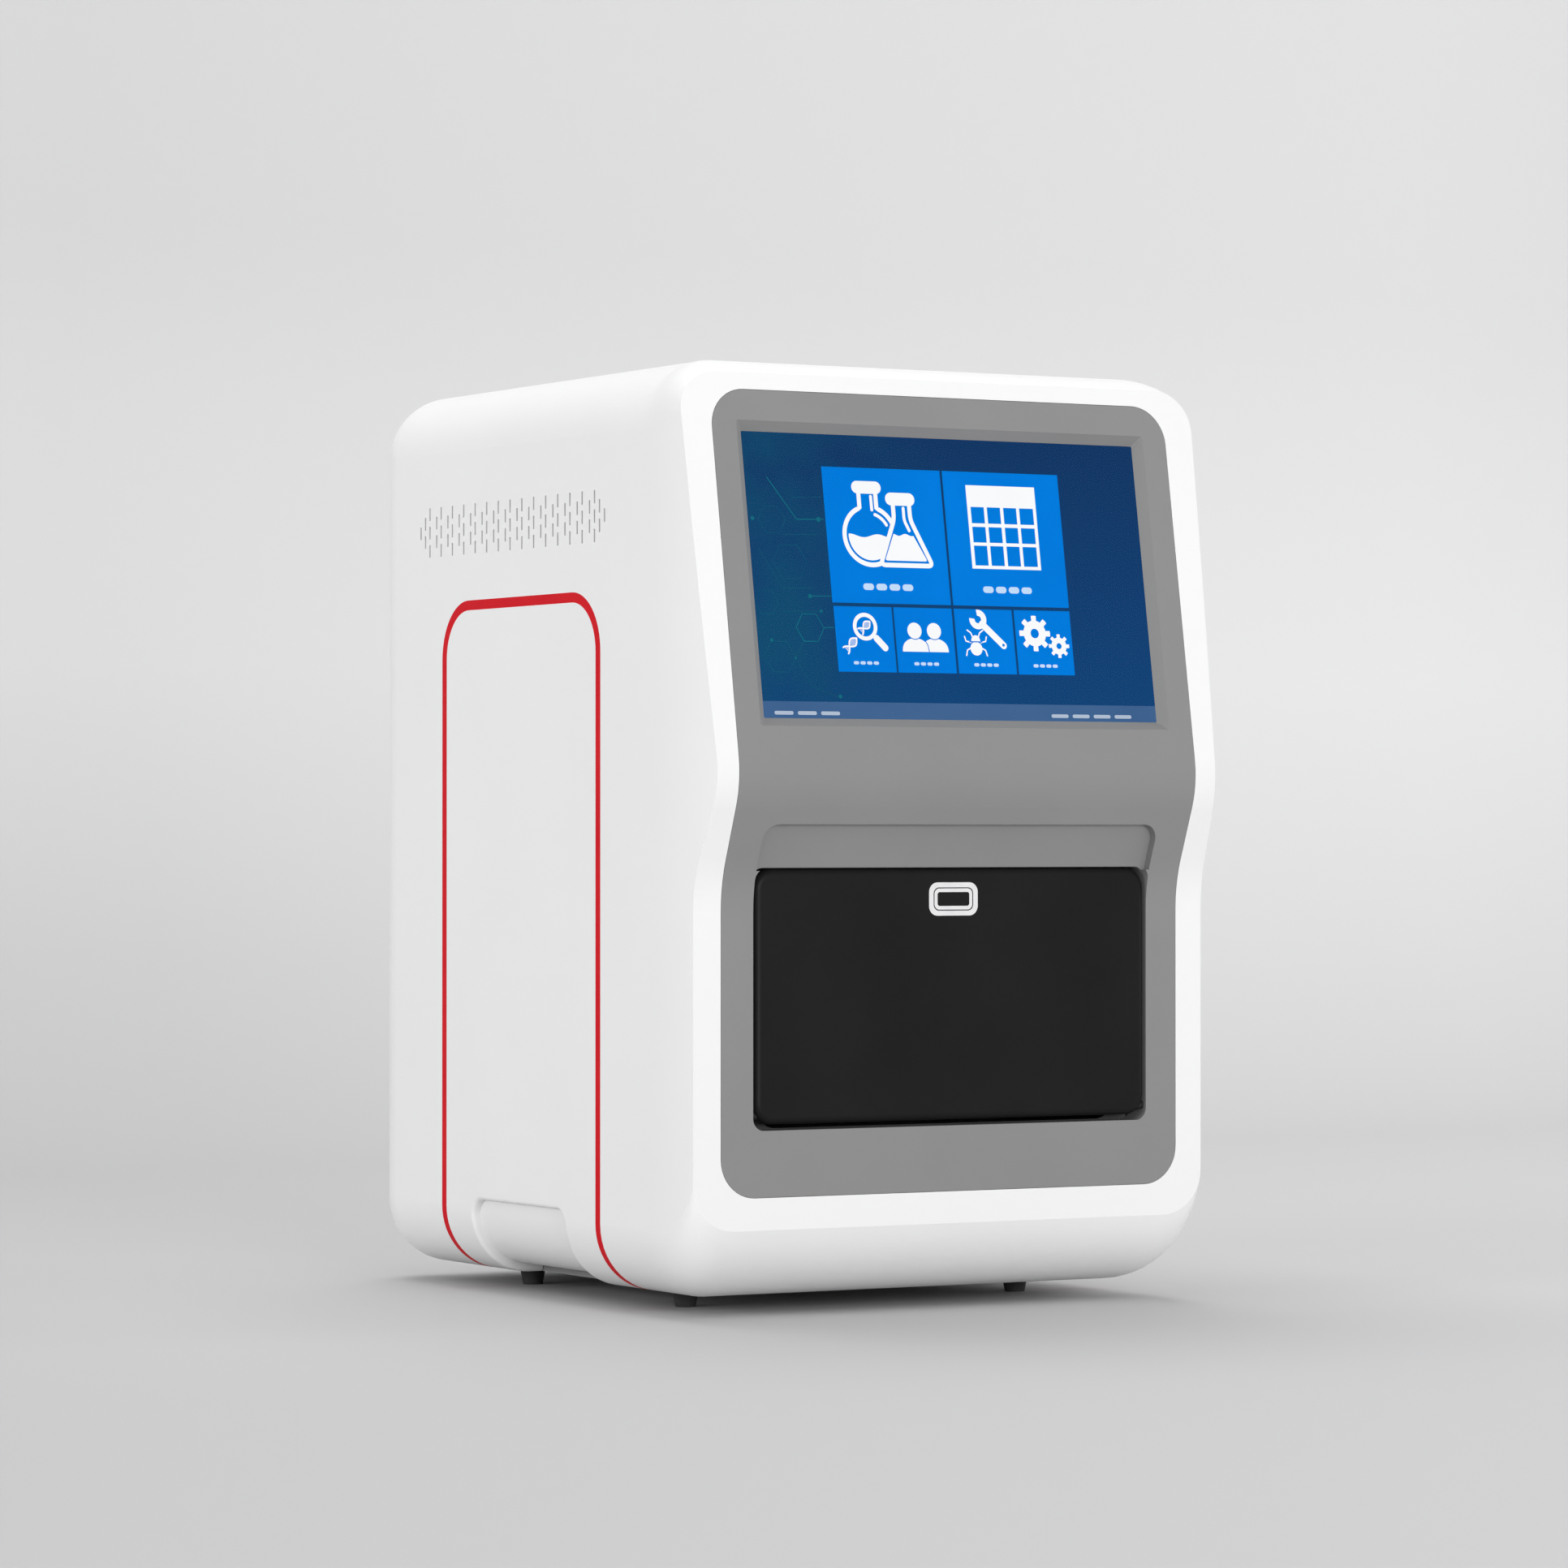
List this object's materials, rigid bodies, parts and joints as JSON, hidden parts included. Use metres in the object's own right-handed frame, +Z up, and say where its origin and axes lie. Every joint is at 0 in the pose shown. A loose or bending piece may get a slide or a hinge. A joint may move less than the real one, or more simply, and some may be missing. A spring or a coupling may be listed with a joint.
{
  "type": "portable pcr analyzer",
  "caption": "Bench-top PCR analyser with a bent front, tilted touch screen, drop-down chamber door, heated lid over a thermal block, scanning optics and a rear fan.",
  "frame": {"origin": "on the bench, under the middle of the object's box", "axes": "+Z up, +Y to the rear, +X to the right seen from the front; the screen and door face -Y"},
  "size_m": [0.1986, 0.2475, 0.3109],
  "materials": {
    "white_shell": "white satin shell with a very fine texture",
    "red_trim": "red satin strip",
    "powder_grey": "grey powder coat",
    "dark_rubber": "matt dark grey rubber",
    "screw_steel": "zinc plated steel",
    "black_steel": "blackened steel",
    "zinc_sheet": "zinc plated sheet",
    "grey_shell": "mid grey satin moulding",
    "screen_glass": "clear touch glass",
    "lcd_module": "blue lit screen in a black rim",
    "black_shell": "black satin moulding",
    "dark_grey_plastic": "dark grey moulding",
    "spring_steel": "spring steel",
    "magnet_metal": "nickel plated magnet",
    "block_aluminium": "machined, satin anodised",
    "ceramic_white": "white ceramic",
    "black_aluminium": "black anodised",
    "ground_steel": "ground steel",
    "motor_black": "black motor can",
    "nut_brass": "turned brass",
    "optics_black": "matt black housing",
    "lens_glass": "coated lens",
    "board_green": "green circuit board",
    "motor_silver": "bright motor can",
    "white_metal": "white powder-coated sheet",
    "fan_black": "black fan plastic",
    "chrome_wire": "chromed wire",
    "socket_black": "black socket plastic",
    "port_metal": "tinned socket shell"
  },
  "bodies": {
    "root": {"main_casing": "white_shell", "side_panel_left": "white_shell", "side_panel_right": "white_shell", "side_trim_left": "red_trim", "side_trim_right": "red_trim", "base_plate": "powder_grey", "rubber_feet": "dark_rubber", "foot_screws": "screw_steel", "chassis_frame": "zinc_sheet", "front_panel": "grey_shell", "touch_glass": "screen_glass", "lcd_module": "lcd_module", "display_bracket": "zinc_sheet", "hinge_pins": "black_steel", "door_magnets": "magnet_metal", "chamber_liner": "dark_grey_plastic", "thermal_block": "block_aluminium", "peltier_modules": "ceramic_white", "heat_sink": "black_aluminium", "lid_guide_rods": "ground_steel", "lid_motor": "motor_black", "rear_panel": "white_metal", "fan_frame": "fan_black", "fan_guard": "chrome_wire", "rear_screws": "screw_steel", "power_inlet": "socket_black", "power_switch_frame": "socket_black", "usb_ports": "port_metal", "ethernet_port": "port_metal", "io_board": "board_green", "board_standoffs": "nut_brass", "mainboard": "board_green", "power_supply": "zinc_sheet", "inlet_pins": "ground_steel", "usb_tongues": "socket_black", "processor_sink": "black_aluminium", "board_sockets": "ceramic_white", "board_capacitors": "motor_black", "supply_board": "board_green"},
    "door": {"door_panel": "black_shell", "door_inner_cover": "dark_grey_plastic", "strike_plates": "zinc_sheet", "button_spring": "spring_steel"},
    "release_key": {"release_button": "black_shell"},
    "lid": {"lid_carrier": "block_aluminium", "lid_nut": "nut_brass", "heated_lid": "black_aluminium", "optics_rails": "ground_steel", "optics_rail_ends": "block_aluminium", "optics_motor": "motor_silver"},
    "lid_screw": {"lid_lead_screw": "ground_steel"},
    "optics": {"optics_carriage": "optics_black", "optics_lenses": "lens_glass", "detector_board": "board_green"},
    "optics_screw": {"optics_lead_screw": "ground_steel"},
    "fan": {"fan_rotor": "fan_black"},
    "switch_key": {"power_switch_rocker": "socket_black"}
  },
  "joints": [
    {"name": "door_hinge", "type": "hinge", "parent": "root", "child": "door", "pos_m": [0, -0.1079, 0.0662], "axis": [1, 0, 0], "range_deg": [0, 90]},
    {"name": "release_press", "type": "slide", "parent": "door", "child": "release_key", "axis": [0, 1, 0], "range_m": [0, 0.0012], "stiffness_N_per_m": 1200, "deforming": ["button_spring"]},
    {"name": "lid_slide", "type": "slide", "parent": "root", "child": "lid", "axis": [0, 0, -1], "range_m": [0, 0.024]},
    {"name": "lid_screw_spin", "type": "hinge", "parent": "root", "child": "lid_screw", "pos_m": [0, -0.0299, 0.15], "axis": [0, 0, 1], "range_deg": [-10, 4400]},
    {"name": "optics_slide", "type": "slide", "parent": "lid", "child": "optics", "axis": [1, 0, 0], "range_m": [-0.0295, 0.0295]},
    {"name": "optics_screw_spin", "type": "hinge", "parent": "lid", "child": "optics_screw", "pos_m": [0, -0.0589, 0.1333], "axis": [1, 0, 0], "range_deg": [-5400, 5400]},
    {"name": "fan_spin", "type": "hinge", "parent": "root", "child": "fan", "pos_m": [0, 0.11, 0.082], "axis": [0, 1, 0], "continuous": true},
    {"name": "switch_rock", "type": "hinge", "parent": "root", "child": "switch_key", "pos_m": [0.048, 0.1175, 0.175], "axis": [0, 0, 1], "range_deg": [0, 16]}
  ],
  "couplings": [
    {"joint": "lid_screw_spin", "follows": "lid_slide", "rad_per_m": 3141.6},
    {"joint": "optics_screw_spin", "follows": "optics_slide", "rad_per_m": 3141.6}
  ]
}
